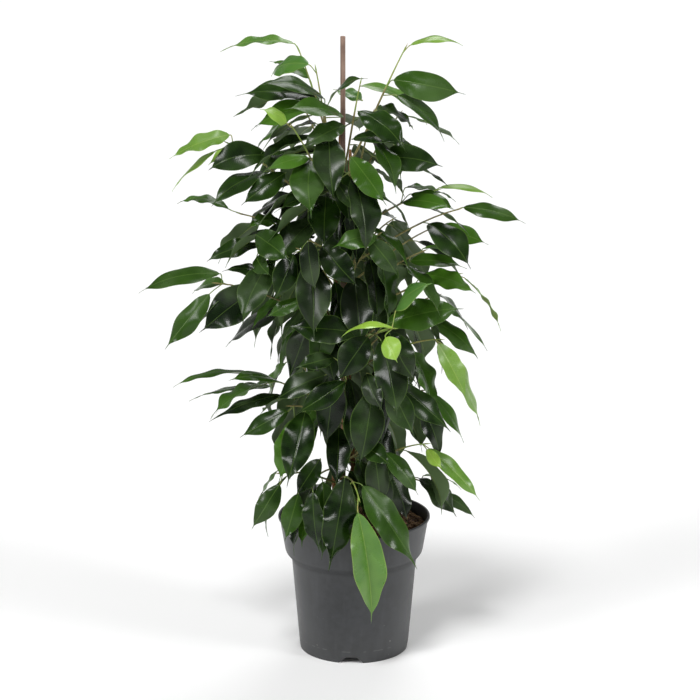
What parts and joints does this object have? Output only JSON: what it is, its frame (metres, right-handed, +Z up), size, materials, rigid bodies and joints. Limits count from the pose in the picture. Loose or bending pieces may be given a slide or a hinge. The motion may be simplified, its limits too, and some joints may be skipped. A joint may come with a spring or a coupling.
{
  "type": "weeping fig in a nursery pot",
  "caption": "Weeping fig grown as a slim column of glossy drooping leaves round a support cane, rooted in the soil of a round dark nursery pot.",
  "frame": {"origin": "centre of the pot's underside, on the surface it stands on", "axes": "+Z up along the plant, -Y the front that the picture shows, +X to the right seen from the front"},
  "size_m": [0.5194, 0.323, 0.8513],
  "materials": {
    "pot": "satin",
    "soil": "rough",
    "cane": "satin",
    "bark": "matt",
    "leaf": "glossy",
    "young_leaf": "glossy"
  },
  "bodies": {
    "root": {"pot": "pot", "soil": "soil", "cane": "cane", "stem_a": "bark", "stem_b": "bark", "stem_c": "bark", "back_1": "leaf", "back_2": "leaf", "back_3": "leaf", "back_4": "leaf", "back_5": "leaf", "back_6": "leaf", "front_high": "leaf", "front_low": "leaf", "front_low_left": "leaf", "front_low_right": "leaf", "front_low_shoot": "young_leaf", "front_lower_left": "leaf", "front_lower_right": "leaf", "front_middle": "leaf", "front_middle_left": "leaf", "front_middle_shoot": "young_leaf", "front_upper_left": "leaf", "front_upper_right": "leaf", "high_left_front": "leaf", "high_left_front_shoot": "young_leaf", "left_foot": "leaf", "left_high": "leaf", "left_high_back": "leaf", "left_high_shoot": "young_leaf", "left_low_front": "leaf", "left_lower": "leaf", "left_middle": "leaf", "left_upper": "leaf", "right_foot": "leaf", "right_high": "leaf", "right_high_shoot": "young_leaf", "right_low": "leaf", "right_low_shoot": "young_leaf", "right_lower": "leaf", "right_lower_front": "leaf", "right_lower_front_shoot": "young_leaf", "right_mid_front": "leaf", "right_middle": "leaf", "right_middle_back": "leaf", "right_middle_shoot": "young_leaf", "right_upper": "leaf", "right_upper_back": "leaf", "top_back_left": "leaf", "top_back_right": "leaf", "top_far_left": "leaf", "top_far_left_shoot": "young_leaf", "top_front_left": "leaf", "top_front_right": "leaf", "top_left": "leaf", "top_left_shoot": "young_leaf", "top_middle": "leaf", "top_middle_shoot": "young_leaf", "top_right": "leaf", "top_right_shoot": "young_leaf"}
  },
  "joints": []
}
